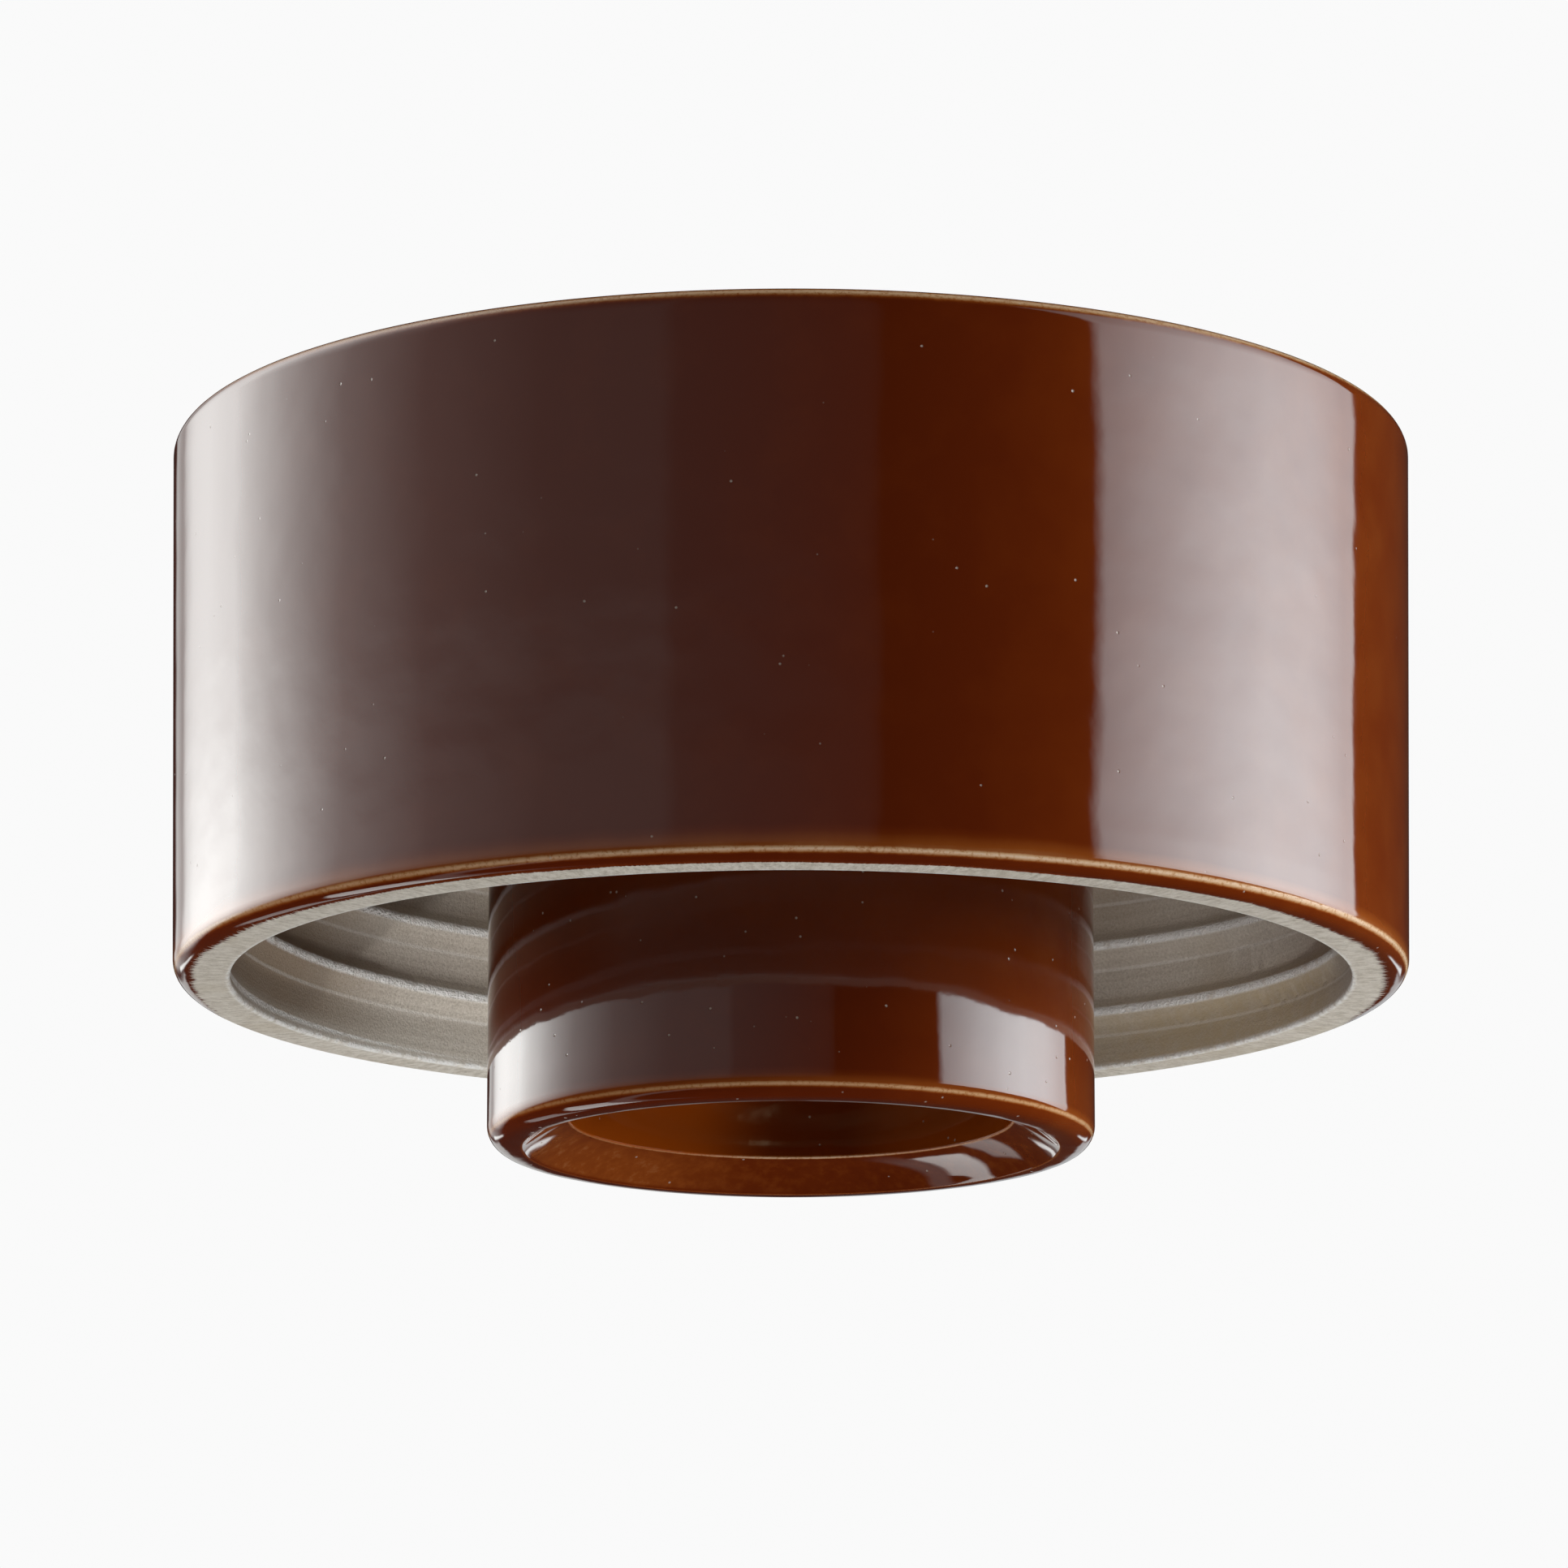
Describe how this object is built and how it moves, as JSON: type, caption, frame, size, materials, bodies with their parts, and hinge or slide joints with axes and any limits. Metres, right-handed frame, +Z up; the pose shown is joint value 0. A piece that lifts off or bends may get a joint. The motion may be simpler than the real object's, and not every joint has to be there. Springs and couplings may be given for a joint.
{
  "type": "porcelain ceiling lampholder base",
  "caption": "Brown-glazed porcelain ceiling lampholder base with a threaded skirt for a screw-in glass globe, a lamp collar, sprung centre contact and screw terminals.",
  "frame": {"origin": "centre of the ceiling face, midway between the two mounting holes", "axes": "+Z up into the ceiling along the axis of the skirt, +Y through the mounting holes, +X towards the line terminal"},
  "size_m": [0.094, 0.094, 0.0541],
  "materials": {
    "glazed_porcelain": "brown glaze outside and on the collar, bare grey clay on the mouth and thread",
    "black_rubber": "matte moulded",
    "silicone_rubber": "satin translucent grey",
    "tinned_copper_shell": "pressed sheet, satin",
    "brass_fixings": "turned",
    "brass_strip": "pressed strip, slightly tarnished",
    "brass_block": "sawn and drilled bar",
    "contact_bronze": "turned, polished tip",
    "spring_steel": "drawn wire",
    "zinc_plated_steel": "zinc plated",
    "pressed_fibre": "varnished pressed fibre",
    "nylon_rivet": "natural nylon"
  },
  "bodies": {
    "base": {"porcelain_base": "glazed_porcelain", "ceiling_gasket": "black_rubber", "glass_gasket": "silicone_rubber", "screw_shell": "tinned_copper_shell", "shell_screws": "brass_fixings", "shell_nuts": "brass_fixings", "neutral_strip": "brass_strip", "line_strip": "brass_strip", "contact_housing": "brass_fixings", "contact_spring": "spring_steel", "contact_spacer": "pressed_fibre", "contact_nut": "brass_fixings", "line_block": "brass_block", "neutral_block": "brass_block", "earth_block": "brass_block", "block_screws": "zinc_plated_steel", "lock_washers": "zinc_plated_steel", "cable_grommets": "black_rubber", "mounting_seals": "black_rubber", "back_plate": "pressed_fibre", "plate_rivets": "nylon_rivet"},
    "plunger": {"contact_plunger": "contact_bronze"},
    "line_clamp": {"line_saddle": "zinc_plated_steel"},
    "line_clamp_screw": {"line_screw": "zinc_plated_steel"},
    "neutral_clamp": {"neutral_saddle": "zinc_plated_steel"},
    "neutral_clamp_screw": {"neutral_screw": "zinc_plated_steel"},
    "earth_clamp": {"earth_saddle": "zinc_plated_steel"},
    "earth_clamp_screw": {"earth_screw": "zinc_plated_steel"}
  },
  "joints": [
    {"name": "centre_contact_travel", "type": "slide", "parent": "base", "child": "plunger", "axis": [0, 0, 1], "range_m": [0, 0.002], "stiffness_N_per_m": 1500, "springref_m": -0.0008, "deforming": ["contact_spring"]},
    {"name": "line_saddle_lift", "type": "slide", "parent": "base", "child": "line_clamp", "axis": [0, 0, -1], "range_m": [0, 0.0024]},
    {"name": "line_screw_turn", "type": "hinge", "parent": "line_clamp", "child": "line_clamp_screw", "pos_m": [0.033, 0, -0.0235], "axis": [0, 0, -1], "range_deg": [0, 1234.4]},
    {"name": "neutral_saddle_lift", "type": "slide", "parent": "base", "child": "neutral_clamp", "axis": [0, 0, -1], "range_m": [0, 0.0024]},
    {"name": "neutral_screw_turn", "type": "hinge", "parent": "neutral_clamp", "child": "neutral_clamp_screw", "pos_m": [-0.033, 0, -0.0235], "axis": [0, 0, -1], "range_deg": [0, 1234.4]},
    {"name": "earth_saddle_lift", "type": "slide", "parent": "base", "child": "earth_clamp", "axis": [0, 0, -1], "range_m": [0, 0.0024]},
    {"name": "earth_screw_turn", "type": "hinge", "parent": "earth_clamp", "child": "earth_clamp_screw", "pos_m": [0.02334, -0.02334, -0.0235], "axis": [0, 0, -1], "range_deg": [0, 1234.4]}
  ],
  "couplings": [
    {"joint": "line_screw_turn", "follows": "line_saddle_lift", "rad_per_m": 8976},
    {"joint": "neutral_screw_turn", "follows": "neutral_saddle_lift", "rad_per_m": 8976},
    {"joint": "earth_screw_turn", "follows": "earth_saddle_lift", "rad_per_m": 8976}
  ]
}
